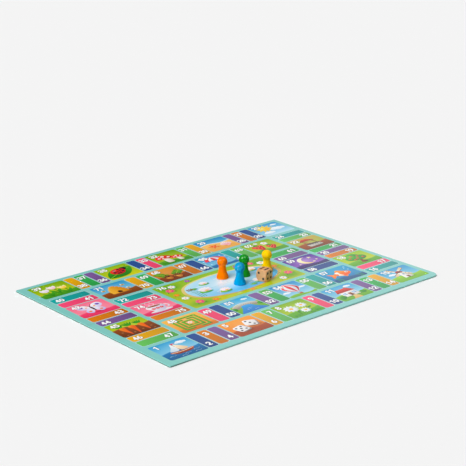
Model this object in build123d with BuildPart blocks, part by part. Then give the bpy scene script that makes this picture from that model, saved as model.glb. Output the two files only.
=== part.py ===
"""Game of the goose: a board that folds in four, four pawns and a die, set out for play.

Millimetres. The board lies open with its print up. The origin is the middle of the underside,
X runs along the long side to the right, Y to the back and Z up.

The board is four greyboard panels between a printed face sheet and a back lining. Both sheets
are one piece of paper on the real board. They bend at the creases, so here each is divided
there, with one piece a panel. The creases at x = 0 fold print to print. The crease at y = 0
folds back to back and runs over the right half alone: on the left half the board is slit.
"""

from build123d import *
from math import atan2, cos, degrees, radians, sin, sqrt
import os

os.makedirs("parts", exist_ok=True)

# Board: overall
board_length = 400.0
board_width = 292.0
corner_radius = 1.6  # upright outer corner of the greyboard
blunted_radius = 9.0  # the same at the front right, which is worn blunt
pressed_edge = 0.25  # rounding that pressing leaves on the greyboard's outer edges

# Board: thickness of the three layers
lining_thickness = 0.15
greyboard_thickness = 1.5
face_thickness = 0.15

# Board: how the sheets are laid
turn_in = 15.0  # face sheet turned over the edge onto the back
mitre_gap = 0.3  # between the two turn-ins at a corner
lining_margin = 4.0  # lining stays back from the outer edge
crease_gap = 1.2  # greyboard to greyboard, where the sheets bend
sheet_gap = 0.1  # hairline that divides a sheet at a crease
slit_gap = 0.3  # cut through all three layers

# Pawn: a beech cone with a ball head, turned in one piece
foot_radius = 7.1
foot_rounding = 0.5
foot_height = 1.1  # where the bell leaves the foot
skirt_bulge = 7.0  # radius of the bell's lower, outward curve in profile
neck_radius = 4.2
neck_length = 1.4  # straight, between the bell and the ball
neck_fillet = 0.7
head_radius = 6.1
pawn_height = 26.4

# Die: a beech cube whose corners are turned off to a ball, with drilled pips
die_edge = 14.0
ball_share = 1.43  # the ball's diameter, as a share of the cube's edge
die_rounding = 0.5  # where the flats meet the ball
pip_pitch = 3.15  # from the middle of a face to the outer pips
pip_radius = 1.15
pip_wall = 0.15  # straight wall of a pip, above the drill's point
pip_point = 0.45
pip_shares = {
    1: [(0, 0)],
    2: [(-1, 1), (1, -1)],
    3: [(-1, 1), (0, 0), (1, -1)],
    4: [(-1, 1), (1, 1), (-1, -1), (1, -1)],
    5: [(-1, 1), (1, 1), (0, 0), (-1, -1), (1, -1)],
    6: [(-1, 1), (0, 1), (1, 1), (-1, -1), (0, -1), (1, -1)],
}

# Places of the loose pieces on the board
stand_gap = 0.1  # under each foot, so that no loose piece rubs on a panel
pawn_places = {
    "pawn_orange": (3.3, 16.6),
    "pawn_blue": (5.1, -12.7),
    "pawn_green": (27.2, 5.3),
    "pawn_yellow": (57.7, -0.5),
}
die_place = (35.1, -21.7)
die_turn = 14.0  # degrees about the upright

# Levels from the table up
recess_top = lining_thickness + face_thickness  # the turn-in lies in a recess of the greyboard
greyboard_top = lining_thickness + greyboard_thickness
board_top = greyboard_top + face_thickness
stand_level = board_top + stand_gap

tool_overrun = 1.0  # cutting solids run past the piece by this much

# Each panel's place, which is the side of the board's middle that it lies on along X and along Y,
# and the radius of its outer corner
panels = {
    "left_back": ((-1, 1), corner_radius),
    "right_back": ((1, 1), corner_radius),
    "right_front": ((1, -1), blunted_radius),
    "left_front": ((-1, -1), corner_radius),
}


def panel_rectangle(side, from_x, from_y, from_edge):
    """Rectangle of one panel, set back from the two middle lines and from the outer edges."""
    side_x, side_y = side
    length = board_length / 2 - from_x - from_edge
    width = board_width / 2 - from_y - from_edge
    with Locations((side_x * (from_x + length / 2), side_y * (from_y + width / 2))):
        Rectangle(length, width)


def pressed_plate(side, from_x, from_y, from_edge, levels, upright_radius, edge_radius):
    """A panel's plate with its outer corner and the rims of its two outer edges rounded."""
    side_x, side_y = side
    bottom, top = levels
    with BuildPart() as plate:
        with BuildSketch(Plane.XY.offset(bottom)):
            panel_rectangle(side, from_x, from_y, from_edge)
        extrude(amount=top - bottom)
        uprights = plate.edges().filter_by(Axis.Z)
        fillet(uprights.sort_by(Axis((0, 0, 0), (side_x, side_y, 0)))[-1], upright_radius)
        end = plate.faces().filter_by(Axis.X).sort_by(Axis((0, 0, 0), (side_x, 0, 0)))[-1]
        edge = plate.faces().filter_by(Axis.Y).sort_by(Axis((0, 0, 0), (0, side_y, 0)))[-1]
        corner = plate.faces().filter_by(GeomType.CYLINDER)[0]
        rims = end.edges().filter_by(Axis.Y) + edge.edges().filter_by(Axis.X)
        fillet(rims + corner.edges().filter_by(GeomType.CIRCLE), edge_radius)
    return plate.part


for panel, (side, upright_radius) in panels.items():
    side_x, side_y = side
    # The right half bends at y = 0, and the left half is slit there
    sheet_from_y = (sheet_gap if side_x > 0 else slit_gap) / 2
    greyboard_from_y = (crease_gap if side_x > 0 else slit_gap) / 2

    # Greyboard: full plate over the recess, and below it the part inside the turn-in
    greyboard_plate = pressed_plate(
        side, crease_gap / 2, greyboard_from_y, face_thickness,
        (recess_top, greyboard_top), upright_radius, pressed_edge,
    )
    with BuildPart() as greyboard_panel:
        add(greyboard_plate)
        with BuildSketch(Plane.XY.offset(lining_thickness)):
            panel_rectangle(side, crease_gap / 2, greyboard_from_y, turn_in)
        extrude(amount=face_thickness)
    greyboard_panel.part.label = f"greyboard_{panel}"
    export_step(greyboard_panel.part, f"parts/greyboard_{panel}.step")

    # Face sheet: over the top, round the two outer edges and 15 mm onto the back
    face_plate = pressed_plate(
        side, sheet_gap / 2, sheet_from_y, 0,
        (lining_thickness, board_top), upright_radius + face_thickness, pressed_edge + face_thickness,
    )
    greyboard_room = pressed_plate(
        side, -tool_overrun, -tool_overrun, face_thickness,
        (recess_top, greyboard_top), upright_radius, pressed_edge,
    )
    mitre_start = upright_radius + face_thickness  # from both outer edges
    mitre_middle = (mitre_start + turn_in + mitre_gap) / 2
    mitre_length = (turn_in + mitre_gap - mitre_start) * sqrt(2)
    with BuildPart() as face_panel:
        add(face_plate)
        add(greyboard_room, mode=Mode.SUBTRACT)
        with BuildSketch(Plane.XY.offset(lining_thickness)):
            panel_rectangle(side, -tool_overrun, -tool_overrun, turn_in)
            mitre_x = side_x * (board_length / 2 - mitre_middle)
            mitre_y = side_y * (board_width / 2 - mitre_middle)
            with Locations(Location((mitre_x, mitre_y, 0), (0, 0, side_x * side_y * 45))):
                Rectangle(mitre_length, mitre_gap)
        extrude(amount=face_thickness, mode=Mode.SUBTRACT)
    face_panel.part.label = f"face_sheet_{panel}"
    export_step(face_panel.part, f"parts/face_sheet_{panel}.step")

    # Lining: pasted last, over the turn-in
    with BuildPart() as lining_panel:
        with BuildSketch():
            panel_rectangle(side, sheet_gap / 2, sheet_from_y, lining_margin)
        extrude(amount=lining_thickness)
    lining_panel.part.label = f"lining_{panel}"
    export_step(lining_panel.part, f"parts/lining_{panel}.step")


# Pawns: one profile, turned about each pawn's own axis
head_height = pawn_height - head_radius
head_seat = head_height - sqrt(head_radius**2 - neck_radius**2)  # where the ball meets the neck
neck_height = head_seat - neck_length
bell_rise = neck_height - foot_height
bell_turn = 2 * atan2(foot_radius - neck_radius, bell_rise)  # the two curves of the bell turn alike
bell_waist = bell_rise / sin(bell_turn) - skirt_bulge  # radius of its upper, inward curve

for name, place in pawn_places.items():
    foot = (*place, stand_level)
    with BuildPart() as pawn:
        with BuildSketch(Plane(origin=foot, x_dir=(1, 0, 0), z_dir=(0, -1, 0))) as profile:
            with BuildLine():
                sole = Line((0, 0), (foot_radius - foot_rounding, 0))
                toe = JernArc(sole @ 1, sole % 1, foot_rounding, 90)
                band = Line(toe @ 1, (foot_radius, foot_height))
                skirt = JernArc(band @ 1, band % 1, skirt_bulge, degrees(bell_turn))
                waist = JernArc(skirt @ 1, skirt % 1, bell_waist, -degrees(bell_turn))
                neck = Line(waist @ 1, (neck_radius, head_seat))
                head = ThreePointArc(neck @ 1, (head_radius, head_height), (0, pawn_height))
                Line(head @ 1, (0, 0))
            make_face()
            fillet(profile.vertices().sort_by_distance((neck_radius, head_seat))[0], neck_fillet)
        revolve(axis=Axis(foot, (0, 0, 1)))
    pawn.part.label = name
    export_step(pawn.part, f"parts/{name}.step")


# Die: opposite faces add up to seven, with six up
die_ground = Plane(
    origin=(*die_place, stand_level),
    x_dir=(cos(radians(die_turn)), sin(radians(die_turn)), 0),
    z_dir=(0, 0, 1),
)
along, back, up = die_ground.x_dir, die_ground.y_dir, die_ground.z_dir
die_centre = die_ground.origin + up * (die_edge / 2)
# Each face's outward direction and the one across it, by its number of pips
die_faces = {
    1: (-up, along),
    2: (-along, -back),
    3: (back, -along),
    4: (-back, along),
    5: (along, back),
    6: (up, along),
}

with BuildPart() as die:
    with BuildSketch(die_ground):
        Rectangle(die_edge, die_edge)
    extrude(amount=die_edge)
    with Locations(die_centre):
        Sphere(die_edge * ball_share / 2, mode=Mode.INTERSECT)
    fillet(die.edges(), die_rounding)
    for count, (outward, across) in die_faces.items():
        wall_foot = die_centre + outward * (die_edge / 2 - pip_wall)
        pips = [(pip_pitch * i, pip_pitch * j) for i, j in pip_shares[count]]
        with Locations(Plane(origin=wall_foot, x_dir=across, z_dir=outward)):
            with Locations(*pips):
                Cylinder(
                    pip_radius, pip_wall + tool_overrun,
                    align=(Align.CENTER, Align.CENTER, Align.MIN), mode=Mode.SUBTRACT,
                )
                Cone(
                    0, pip_radius, pip_point,
                    align=(Align.CENTER, Align.CENTER, Align.MAX), mode=Mode.SUBTRACT,
                )
die.part.label = "die"
export_step(die.part, "parts/die.step")
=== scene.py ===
"""Looks of the folding race-game board, its four pawns and its die. Metres, in the frame of the
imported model: X along the board's long side, Y to the back, Z up, origin under its middle."""

from collections import namedtuple

import bpy
import numpy as np
from mathutils import Matrix, Vector
from mathutils.geometry import delaunay_2d_cdt


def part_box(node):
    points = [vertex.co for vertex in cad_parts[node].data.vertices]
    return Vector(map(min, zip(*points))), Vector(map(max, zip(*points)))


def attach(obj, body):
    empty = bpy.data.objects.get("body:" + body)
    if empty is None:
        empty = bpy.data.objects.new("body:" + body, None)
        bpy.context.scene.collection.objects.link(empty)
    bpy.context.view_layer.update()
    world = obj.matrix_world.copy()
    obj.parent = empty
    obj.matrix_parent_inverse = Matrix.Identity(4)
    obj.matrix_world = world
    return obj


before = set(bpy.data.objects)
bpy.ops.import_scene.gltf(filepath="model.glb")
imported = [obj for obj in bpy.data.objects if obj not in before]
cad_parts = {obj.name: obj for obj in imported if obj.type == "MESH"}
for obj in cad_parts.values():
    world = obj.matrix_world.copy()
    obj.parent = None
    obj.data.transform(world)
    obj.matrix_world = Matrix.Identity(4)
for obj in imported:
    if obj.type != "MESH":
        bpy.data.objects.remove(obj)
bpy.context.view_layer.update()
mm = 0.001

# Greyboard: four stiff panels of pressed waste paper, 1.5 mm thick. Their cut edges show only in
# the creases and in the slit. Recycled fibre gives a matt warm grey with darker flecks.

panels = ["left_back", "right_back", "right_front", "left_front"]
fibre_width = 0.9 * mm  # coarser than real fibre, so that it shows
fleck_width = 0.4 * mm


def linear(colour):
    """sRGB to linear light: a hex string gives four numbers, and an array from 0 to 1 an array."""
    if isinstance(colour, str):
        levels = [int(colour[i:i + 2], 16) / 255 for i in (0, 2, 4)]
        return (*linear(np.array(levels)), 1.0)
    return np.where(colour <= 0.04045, colour / 12.92, ((colour + 0.055) / 1.055) ** 2.4)


def add(tree, kind, links=(), **settings):
    """Adds a node and gives its outputs. Settings are its own properties. Links pair an input, by
    name or number, with what it takes: an output is linked to it, and a value is set on it. A Mix
    of colours has its share at 0 and the colours at 6 and 7, and gives the mixed one at 2."""
    node = tree.nodes.new("ShaderNode" + kind)
    for name, value in settings.items():
        setattr(node, name, value)
    for name, value in dict(links).items():
        if isinstance(value, bpy.types.NodeSocket):
            tree.links.new(value, node.inputs[name])
        else:
            node.inputs[name].default_value = value
    return node.outputs


def new_material(name):
    """A material with an empty node tree, and that tree."""
    material = bpy.data.materials.new(name)
    material.use_nodes = True
    material.node_tree.nodes.clear()
    return material, material.node_tree


def coat_nodes(nodes, material):
    """Gives CAD nodes their material."""
    for name in nodes:
        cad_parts[name].data.materials.clear()
        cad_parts[name].data.materials.append(material)


material, tree = new_material("recycled_greyboard")
place = add(tree, "TexCoord")["Object"]
fibre = add(tree, "TexNoise", {"Vector": place, "Scale": 1 / fibre_width, "Detail": 5})[0]
specks = add(tree, "TexNoise", {"Vector": place, "Scale": 1 / fleck_width, "Detail": 3})[0]
flecks = add(tree, "MapRange", {"Value": specks, "From Min": 0.62, "From Max": 0.7})[0]
grey = add(tree, "Mix", {0: fibre, 6: linear("9A958B"), 7: linear("B4AEA2")}, data_type="RGBA")[2]
grey = add(tree, "Mix", {0: flecks, 6: grey, 7: linear("6E6A64")}, data_type="RGBA")[2]
relief = add(tree, "Bump", {"Height": fibre, "Distance": 0.06 * mm})[0]
shader = add(tree, "BsdfPrincipled", {"Base Color": grey, "Roughness": 0.92, "Normal": relief})
add(tree, "OutputMaterial", {"Surface": shader[0]})
coat_nodes([f"greyboard_{panel}" for panel in panels], material)

# Lining: plain white uncoated paper, pasted to the underside last. It is matt, with a felt-like
# tooth, drawn here at about a millimetre so that it shows, scuffed grey in patches, and greyed
# along the creases as painted shade.

tooth_width = 1.0 * mm
scuff_width = 14 * mm
crease_shade_width = 3 * mm  # to each side of a crease

material, tree = new_material("uncoated_white_paper")
place = add(tree, "TexCoord")["Object"]
tooth = add(tree, "TexNoise", {
    "Vector": place, "Scale": 1 / tooth_width, "Detail": 5, "Roughness": 0.6,
})[0]
shade = add(tree, "MapRange", {"Value": tooth, "From Min": 0.35, "From Max": 0.65})[0]
paper = add(tree, "Mix", {0: shade, 6: linear("E9E7E1"), 7: linear("DDDBD5")}, data_type="RGBA")[2]
patches = add(tree, "TexNoise", {
    "Vector": place, "Scale": 1 / scuff_width, "Detail": 5, "Roughness": 0.6,
})[0]
scuffs_and_crease_shade = add(tree, "MapRange", {"Value": patches, "From Min": 0.5, "From Max": 0.8, "To Max": 0.5})[0]
# Painted shade along the creases: the grey deepens towards each crease, over the scuffed patches
for axis in add(tree, "SeparateXYZ", {"Vector": place})[:2]:
    from_crease = add(tree, "Math", {0: axis}, operation="ABSOLUTE")[0]
    rub_wear_and_crease_shade = add(tree, "MapRange", {
        "Value": from_crease, "From Min": 0.2 * mm, "From Max": crease_shade_width, "To Min": 0.7, "To Max": 0.0,
    })[0]
    scuffs_and_crease_shade = add(tree, "Math", {0: scuffs_and_crease_shade, 1: rub_wear_and_crease_shade}, operation="MAXIMUM")[0]
paper = add(tree, "Mix", {0: scuffs_and_crease_shade, 6: paper, 7: linear("C9C6BF")}, data_type="RGBA")[2]
relief = add(tree, "Bump", {"Height": tooth, "Distance": 0.08 * mm})[0]
shader = add(tree, "BsdfPrincipled", {"Base Color": paper, "Roughness": 0.85, "Normal": relief})
add(tree, "OutputMaterial", {"Surface": shader[0]})
coat_nodes([f"lining_{panel}" for panel in panels], material)

# Face sheet: offset-printed paper under a glossy plastic film, pasted over the top and wrapped
# round the outer edges. The film gives a soft sheen with a faint orange peel. At the rim the ink
# is rubbed paler in patches, and low on the edges a dark teal is painted in as shade, full on the
# short ends and near the left end of the long edges.

film_ior = 1.49
film_roughness = 0.17
peel_width = 1.6 * mm
wave_length = 60 * mm  # the board is not quite flat, which only its gloss shows
dulled_width = 18 * mm  # patches where the film is a little more or less dull
rim_width = 0.5 * mm
rubbed_patch = 7 * mm
clouding = 30 * mm  # slight unevenness of the teal
painted_shade_height = 0.9 * mm, 1.5 * mm  # the painted shade is full below the first level and ends at the second
painted_shade_reach = 15 * mm, 60 * mm  # from the left end along the long edges: full, then a quarter
half_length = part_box("face_sheet_right_back")[1].x
half_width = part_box("face_sheet_right_back")[1].y


def laminated(name, ink):
    """Laminated print: ink gives the colour from the tree and the place on the board."""
    material, tree = new_material(name)
    place = add(tree, "TexCoord")["Object"]
    peel = add(tree, "TexNoise", {"Vector": place, "Scale": 1 / peel_width, "Detail": 2})[0]
    waves = add(tree, "TexNoise", {"Vector": place, "Scale": 1 / wave_length, "Detail": 2})[0]
    relief = add(tree, "Bump", {"Height": peel, "Distance": 0.006 * mm})[0]
    relief = add(tree, "Bump", {"Height": waves, "Distance": 0.35 * mm, "Normal": relief})[0]
    dulled = add(tree, "TexNoise", {"Vector": place, "Scale": 1 / dulled_width, "Detail": 4})[0]
    roughness = add(tree, "MapRange", {
        "Value": dulled, "From Min": 0.3, "From Max": 0.7,
        "To Min": film_roughness - 0.03, "To Max": film_roughness + 0.04,
    })[0]
    shader = add(tree, "BsdfPrincipled", {
        "Base Color": ink(tree, place), "Roughness": roughness, "IOR": film_ior, "Normal": relief,
    })
    add(tree, "OutputMaterial", {"Surface": shader[0]})
    return material


def handled_teal(tree, place):
    """Teal, paler where the rim is rubbed, and dark low on the edges with painted shade. The rim is
    the larger of how near x and y come to the edge."""
    x, y, z = add(tree, "SeparateXYZ", {"Vector": place})
    far_x = add(tree, "Math", {0: x}, operation="ABSOLUTE")[0]
    far_y = add(tree, "Math", {0: y}, operation="ABSOLUTE")[0]
    rim_x = add(tree, "MapRange", {
        "Value": far_x, "From Min": half_length - rim_width, "From Max": half_length,
    })[0]
    rim_y = add(tree, "MapRange", {
        "Value": far_y, "From Min": half_width - rim_width, "From Max": half_width,
    })[0]
    rim = add(tree, "Math", {0: rim_x, 1: rim_y}, operation="MAXIMUM")[0]
    patches = add(tree, "TexNoise", {"Vector": place, "Scale": 1 / rubbed_patch, "Detail": 4})[0]
    patchy = add(tree, "MapRange", {"Value": patches, "From Min": 0.45, "From Max": 0.7, "To Max": 0.5})[0]
    rub_wear_and_crease_shade = add(tree, "Math", {0: rim, 1: patchy}, operation="MULTIPLY")[0]
    # Painted shade: dark teal low on the sides, full on the short ends and near the left end of the long
    # ones, a quarter further along
    near_left = add(tree, "MapRange", {
        "Value": x, "From Min": painted_shade_reach[0] - half_length, "From Max": painted_shade_reach[1] - half_length,
        "To Min": 1.0, "To Max": 0.25,
    })[0]
    low_down = add(tree, "MapRange", {
        "Value": z, "From Min": painted_shade_height[0], "From Max": painted_shade_height[1], "To Min": 0.9, "To Max": 0.0,
    })[0]
    painted_edge_shade = add(tree, "Math", {0: rim_y, 1: near_left}, operation="MULTIPLY")[0]
    painted_edge_shade = add(tree, "Math", {0: rim_x, 1: painted_edge_shade}, operation="MAXIMUM")[0]
    painted_edge_shade = add(tree, "Math", {0: painted_edge_shade, 1: low_down}, operation="MULTIPLY")[0]
    clouds = add(tree, "TexNoise", {"Vector": place, "Scale": 1 / clouding, "Detail": 3})[0]
    teal = add(tree, "Mix", {0: clouds, 6: linear("82CAC2"), 7: linear("88D0C8")}, data_type="RGBA")[2]
    teal = add(tree, "Mix", {0: rub_wear_and_crease_shade, 6: teal, 7: linear("C4E4DF")}, data_type="RGBA")[2]
    return add(tree, "Mix", {0: painted_edge_shade, 6: teal, 7: linear("1E5A48")}, data_type="RGBA")[2]


coat_nodes([f"face_sheet_{panel}" for panel in panels], laminated("laminated_teal_paper", handled_teal))

# Printed track: the picture side of the face sheet, a spiral of 76 numbered spaces that starts at
# the front left corner and winds inwards to a garden pond. Each panel has its part of the print as
# a film of ink on the face sheet, cut into flat areas of colour along the lines of the drawing.

# This section is in millimetres, up to the mesh
board_x = half_length / mm
board_y = half_width / mm
board_top = max(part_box(f"face_sheet_{panel}")[1].z for panel in panels)
ink_gap = 0.02  # between the face sheet and the film
ink_thickness = 0.03
ink_strength = 1.18  # further from grey than the colours below are written
ink_depth = 1.12  # and darker by this power, which leaves white as it is
same_point = 0.005  # points of the drawing nearer than this are one
rim_inset = 0.55  # the film ends where the face sheet starts to turn over the edge
film_corner = {"left_back": 1.2, "right_back": 1.2, "right_front": 8.6, "left_front": 1.2}
print_shift = np.array([1.8, 1.5])  # the sheet was pasted on a little to the right and the back
border = 8.5
gutter = 6.0  # between two rounds of the spiral
seam = 1.6  # between two spaces of a lane
pale_line = 0.6  # round each plain space
row_breadth = 42.0
column_breadth = 48.0
space_rounding = 2.6
digit_height = 8.6
# The next four are for a digit 10 high
digit_breadth = 6.0
digit_step = 6.3  # from one digit to the next
digit_line = 2.15  # width of its line
lifting_line = 3.2  # width of the dark line under that
number_inset = 4.0, 6.6  # from a picture's left edge to its number, and from its top to the middle
digit_room = 6.0  # taken by each digit there
dot_step = 4.0  # between the loose points of a backdrop
border_teal = "85CDC5"
space_colours = ["22ACA8", "FF628A", "345D9A", "D68812", "8A6AA2", "43B362", "E4B10E", "74C26A"]

# An ink goes from its first tone and strength to its second, as far as the length of its grade, a
# matrix, times the place
Ink = namedtuple("Ink", "outline space first second strength end_strength grade")
inks = []  # areas in the order of printing
spaces = []  # outline of each space
dots = []  # loose points that carry smooth changes of colour


def tone(colour):
    """sRGB hex to three numbers from 0 to 1, in which inks are mixed."""
    return np.array([int(colour[i:i + 2], 16) / 255 for i in (0, 2, 4)])


def direction(angle):
    """Cosine and sine of an angle in degrees, side by side."""
    return np.stack([np.cos(np.radians(angle)), np.sin(np.radians(angle))], -1)


def turned(points, angle):
    """Points turned about the origin by an angle in degrees."""
    c, s = direction(angle)
    return points @ np.array([[c, s], [-s, c]])


def ellipse(x, y, across, up, start=0.0, end=360.0, points=26, turn=0.0):
    """Points at x + across cos t, y + up sin t for t from start to end, turned about the middle."""
    t = np.linspace(start, end, points, endpoint=end - start < 360)
    return turned(direction(t) * (across, up), turn) + (x, y)


def plate(x, y, width, height, rounding, turn=0.0):
    """Rectangle about x, y with rounded corners: a quarter circle about each inner corner."""
    inner = np.array([(1, 1), (-1, 1), (-1, -1), (1, -1)]) * (width / 2 - rounding, height / 2 - rounding)
    t = np.arange(0, 360, 90)[:, None] + np.linspace(0, 90, 6)
    corners = inner[:, None] + rounding * direction(t)
    return turned(corners.reshape(-1, 2), turn) + (x, y)


def smooth(points, closed=True, steps=6):
    """Curve through the points: on each span the cubic whose slope at a point is half the step
    between its two neighbours."""
    p = np.array(points, float)
    if closed:
        q = np.concatenate([p[-1:], p, p[:2]])
    else:
        q = np.concatenate([2 * p[:1] - p[1:2], p, 2 * p[-1:] - p[-2:-1]])
    a, b, c, d = q[:-3, None], q[1:-2, None], q[2:-1, None], q[3:, None]
    t = np.linspace(0, 1, steps, endpoint=False)[None, :, None]
    squared, cubed = a - 2.5 * b + 2 * c - d / 2, 1.5 * (b - c) + (d - a) / 2
    line = (b + t * (c - a) / 2 + t**2 * squared + t**3 * cubed).reshape(-1, 2)
    return line if closed else np.concatenate([line, p[-1:]])


def stroke(line, width, end_width=None):
    """Outline of a pen stroke: half the width to each side of the line, which changes evenly to
    the end width, with a half circle round each end."""
    line = np.array(line, float)
    half = np.linspace(width, width if end_width is None else end_width, len(line))[:, None] / 2
    run = np.gradient(line, axis=0)
    run = run / np.linalg.norm(run, axis=1, keepdims=True)
    side = np.stack([-run[:, 1], run[:, 0]], 1)
    t = np.radians(np.linspace(0, 180, 7)[1:-1])[:, None]
    end_cap = line[-1] + half[-1] * (side[-1] * np.cos(t) + run[-1] * np.sin(t))
    start_cap = line[0] - half[0] * (side[0] * np.cos(t) + run[0] * np.sin(t))
    return np.concatenate([line + half * side, end_cap, (line - half * side)[::-1], start_cap])


def leaf(x, y, angle, length, width, bluntness=1.0):
    """Petal from x, y along an angle: half-width is the sine of the way along it, to a power."""
    t = np.linspace(0, 1, 10)
    half = width / 2 * np.sin(np.pi * t) ** bluntness
    flat = np.concatenate([np.stack([length * t, half], 1), np.stack([length * t, -half], 1)[-2:0:-1]])
    return turned(flat, angle) + (x, y)


def star(x, y, radius, inner, rays, turn=90.0):
    """Points that lie in turn on the outer and the inner radius."""
    point = np.arange(2 * rays)
    reach = np.where(point % 2, inner, radius)
    return reach[:, None] * direction(turn + point * 180 / rays) + (x, y)


class Brush:
    """Prints areas in one space, about its middle. An area's ink is its colour, and where it fades
    a second colour, the direction of that, and a strength. A method takes its shape's sizes
    first, as the function does that gives the outline."""

    def __init__(self, space, middle, size):
        self.space = space
        self.middle = np.array(middle)
        self.width, self.height = size

    def area(self, outline, colour, fade=None, along=(0, -1), strength=1.0):
        """Prints an outline: its grade runs from 0 to 1 along the direction."""
        points = np.asarray(outline) + self.middle
        way = np.array(along, float) / np.hypot(*along)
        reach = points @ way
        span = max(np.ptp(reach), 1e-6)
        grade = np.array([[*(way / span), -reach.min() / span], [0, 0, 0]])
        inks.append(Ink(points, self.space, tone(colour), tone(fade or colour), strength, strength, grade))

    def oval(self, x, y, across, up, *ink, turn=0.0, **more):
        self.area(ellipse(x, y, across, up, turn=turn), *ink, **more)

    def block(self, x, y, width, height, rounding, *ink, turn=0.0, **more):
        self.area(plate(x, y, width, height, rounding, turn), *ink, **more)

    def petal(self, x, y, angle, length, width, *ink, bluntness=1.0, **more):
        self.area(leaf(x, y, angle, length, width, bluntness), *ink, **more)

    def blob(self, points, *ink, **more):
        self.area(smooth(points), *ink, **more)

    def line(self, points, width, *ink, end=None, **more):
        self.area(stroke(points, width, end), *ink, **more)

    def curve(self, points, width, *ink, **more):
        self.line(smooth(points, closed=False), width, *ink, **more)

    def glow(self, x, y, across, up, colour, strength=0.6, turn=0.0):
        """A soft spot, strongest in the middle and clear at its rim, where its grade comes to 1."""
        c, s = direction(turn)
        back = np.array([[c, s], [-s, c]]) / ((across,), (up,))
        middle = self.middle + (x, y)
        grade = np.concatenate([back, -(back @ middle)[:, None]], 1)
        rim = ellipse(*middle, across, up, turn=turn)
        inks.append(Ink(rim, self.space, tone(colour), tone(colour), strength, 0.0, grade))
        for share in (0.33, 0.66):
            dots.append(ellipse(*middle, across * share, up * share, points=12, turn=turn))
        dots.append(middle[None])

    def ground(self, sky, horizon, hill=None, low=None, level=0.0):
        """A space's backdrop: a fading sky with a glow in its middle, and before it a soft hill."""
        w, h = self.width, self.height
        self.block(0, 0, w, h, space_rounding, sky, horizon)
        x, y = (np.arange(-size / 2 + 3, size / 2 - 1, dot_step) for size in (w, h))
        x, y = np.meshgrid(x, y)
        dots.append(np.stack([x.ravel(), y.ravel()], 1) + self.middle)
        self.glow(0, h * 0.12, w * 0.46, h * 0.4, "FFFFFF", 0.18)
        if hill:
            rises = ((-0.7, -2), (-0.2, 3), (0.25, -1), (0.7, 4))
            ridge = smooth([(w * across, level + up) for across, up in rises], closed=False)
            self.area(np.concatenate([ridge, [(w * 0.7, -h * 0.7), (-w * 0.7, -h * 0.7)]]), hill, low)
            self.line(ridge + (0, -0.6), 1.2, "FFFFFF", strength=0.16)


def ring(x, y, across, up):
    """Two half rounds, because a stroke can't close."""
    return [ellipse(x, y, across, up, -5, 185, 10), ellipse(x, y, across, up, 175, 365, 10)]


# Lines of each digit, from 0 to 6 across and from 0 to 10 up
digit_lines = {
    "0": [ellipse(3, 5, 2.1, 4.1, 85, 275, 12), ellipse(3, 5, 2.1, 4.1, -95, 95, 12)],
    "1": [[(1.5, 7.6), (3.5, 9.1)], [(3.5, 9.1), (3.5, 0.9)]],
    "2": [
        np.concatenate([ellipse(3, 6.7, 2.1, 2.4, 165, -40, 10), [(1.2, 1.1)]]),
        [(1.1, 0.95), (5.1, 0.95)],
    ],
    "3": [ellipse(2.7, 7.0, 2.1, 2.1, 150, -85, 10), ellipse(2.7, 3.0, 2.4, 2.2, 85, -155, 11)],
    "4": [[(4.2, 0.9), (4.2, 9.1)], [(4.0, 9.0), (0.9, 3.2)], [(0.9, 3.2), (5.6, 3.2)]],
    "5": [[(5.0, 9.0), (1.6, 9.0)], [(1.6, 9.0), (1.4, 5.2)], ellipse(2.8, 3.4, 2.4, 2.5, 128, -150, 12)],
    "6": [ellipse(5.1, 3.2, 4.2, 6.0, 105, 180, 8), *ring(3, 3.1, 2.1, 2.2)],
    "7": [[(0.9, 9.0), (5.1, 9.0)], [(5.1, 9.0), (2.3, 0.9)]],
    "8": [*ring(3, 7.1, 1.9, 2.0), *ring(3, 2.9, 2.3, 2.2)],
    "9": [ellipse(0.9, 6.8, 4.2, 6.0, 0, -75, 8), *ring(3, 6.9, 2.1, 2.2)],
}


def number(brush, value, x, y, shade="1C3A3A"):
    """Round-ended white digits about x, y, on a slightly wider dark line that lifts them."""
    scale = digit_height / 10
    left = x - scale * digit_step / 2 * len(str(value))
    for width, shift, colour, strength in (
        (lifting_line, (0.25, -0.3), shade, 0.34), (digit_line, (0, 0), "FFFFFF", 1.0),
    ):
        for i, digit in enumerate(str(value)):
            middle = left + scale * digit_step * (i + 0.5)
            corner = np.array([middle - scale * digit_breadth / 2, y - digit_height / 2])
            for line in digit_lines[digit]:
                brush.line(np.array(line) * scale + corner + shift, width * scale, colour, strength=strength)


def numbered_space(brush, value, along_row):
    """A plain space: one colour that deepens to one side, and its number off the middle, on the
    one side and the other by turns."""
    w, h = brush.width, brush.height
    colour = space_colours[value % len(space_colours)]
    deep = "%02X%02X%02X" % tuple(int(255 * level * 0.86) for level in tone(colour))
    line = pale_line
    brush.block(0, 0, w + 2 * line, h + 2 * line, space_rounding + line, "DCEBF4", strength=0.75)
    brush.block(0, 0, w, h, space_rounding, colour, deep, (0.4, -1) if along_row else (1, -0.2))
    off = (1 if value % 2 else -1) * (0.27 * h if along_row else 0.3 * w)
    number(brush, value, *((0, off) if along_row else (off, 0)))


def picture_space(brush, value, draw):
    """A space with a picture, and its number in the upper left corner."""
    draw(brush)
    from_left, from_top = number_inset
    x = -brush.width / 2 + from_left + digit_room / 2 * len(str(value))
    number(brush, value, x, brush.height / 2 - from_top, "1E2A18")


# The pictures, each for a space of about 46 by 42 mm, and drawn from the back to the front


def cloud(brush, x, y, size):
    """Five white puffs about x, y."""
    puffs = ((-1.1, 0, 0.6), (1.1, 0.05, 0.65), (-0.35, 0.4, 0.75), (0.5, 0.35, 0.6), (0, -0.1, 0.8))
    for across, up, radius in puffs:
        wide, high = radius * size * 1.15, radius * size * 0.85
        brush.oval(x + across * size, y + up * size, wide, high, "FFFFFF", "DCEAF4")


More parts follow.
